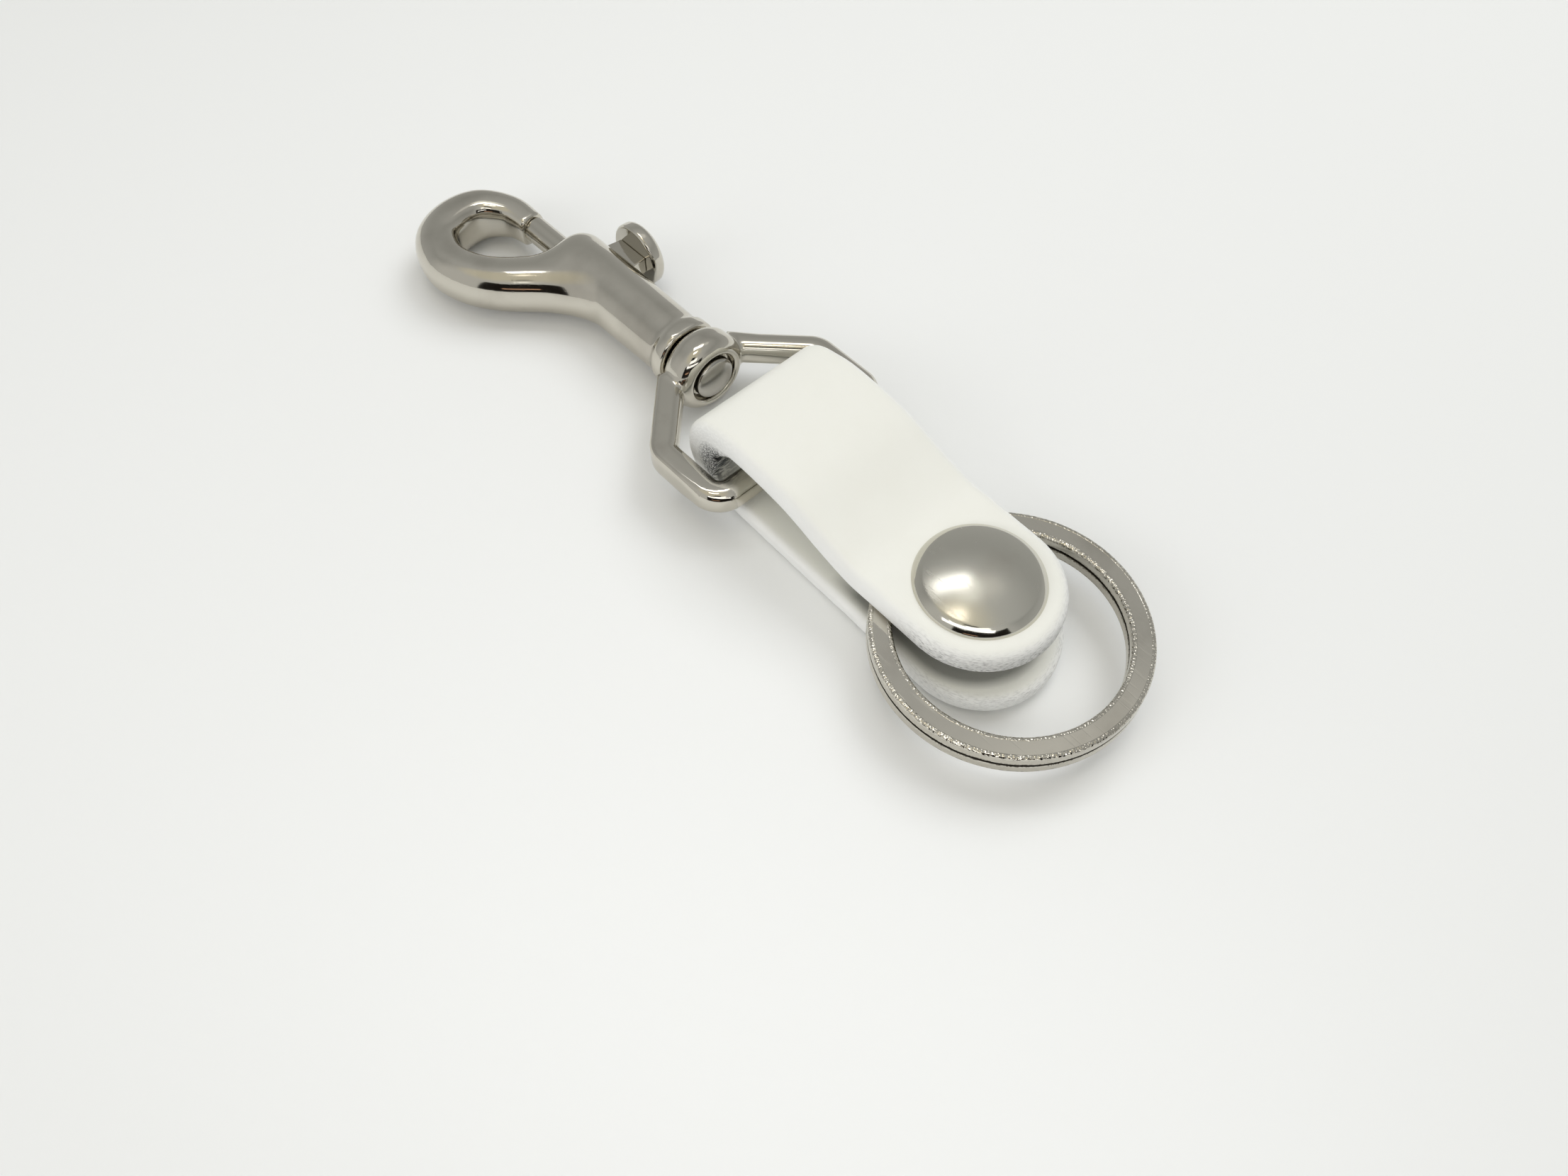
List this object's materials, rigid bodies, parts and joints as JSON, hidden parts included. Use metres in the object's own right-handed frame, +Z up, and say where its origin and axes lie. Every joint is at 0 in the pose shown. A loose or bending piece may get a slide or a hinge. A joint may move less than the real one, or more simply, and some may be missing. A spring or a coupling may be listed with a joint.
{
  "type": "belt key clip",
  "caption": "Swivel bolt hook with a folded leather strap that a press stud closes round a split key ring.",
  "frame": {"origin": "on the surface that the clip lies on, on the axis of the press snap, at the underside of the snap's lower flange", "axes": "+X along the strap towards the key ring and away from the hook, +Y towards the thumb knob's side, +Z up"},
  "size_m": [0.1133, 0.0316, 0.0133],
  "materials": {
    "white_leather": "smooth, slightly glossy off-white",
    "polished_nickel": "polished nickel plate on zinc and steel",
    "dark_nickel": "nickel plate, less polished",
    "spring_steel": "drawn wire"
  },
  "bodies": {
    "strap": {"strap_base": "white_leather", "snap_stud": "polished_nickel", "snap_post": "dark_nickel"},
    "flap": {"strap_flap": "white_leather", "snap_cap": "polished_nickel", "snap_cap_post": "dark_nickel", "snap_socket": "polished_nickel", "snap_spring": "spring_steel"},
    "ring": {"split_ring": "polished_nickel"},
    "loop": {"swivel_loop": "polished_nickel"},
    "hook": {"hook_body": "polished_nickel", "swivel_rivet": "dark_nickel", "bolt_spring": "spring_steel"},
    "bolt": {"bolt": "polished_nickel", "thumb_knob": "polished_nickel"}
  },
  "joints": [
    {"name": "flap_open", "type": "hinge", "parent": "strap", "child": "flap", "pos_m": [-0.02945, 0, 0.0133], "axis": [0, -1, 0], "range_deg": [0, 110]},
    {"name": "ring_spin", "type": "hinge", "parent": "strap", "child": "ring", "pos_m": [0.0054, 0, 0.00503], "axis": [0, 0, 1], "continuous": true},
    {"name": "loop_swing", "type": "hinge", "parent": "strap", "child": "loop", "pos_m": [-0.0288, 0, 0.00594], "axis": [0, 1, 0], "range_deg": [-100, 120]},
    {"name": "swivel_spin", "type": "hinge", "parent": "loop", "child": "hook", "pos_m": [-0.04859, 0, 0.0052], "axis": [-0.9993, 0, -0.0371], "continuous": true},
    {"name": "bolt_slide", "type": "slide", "parent": "hook", "child": "bolt", "axis": [0.9993, 0, 0.0371], "range_m": [0, 0.0056], "stiffness_N_per_m": 250, "springref_m": -0.004, "deforming": ["bolt_spring"]}
  ]
}
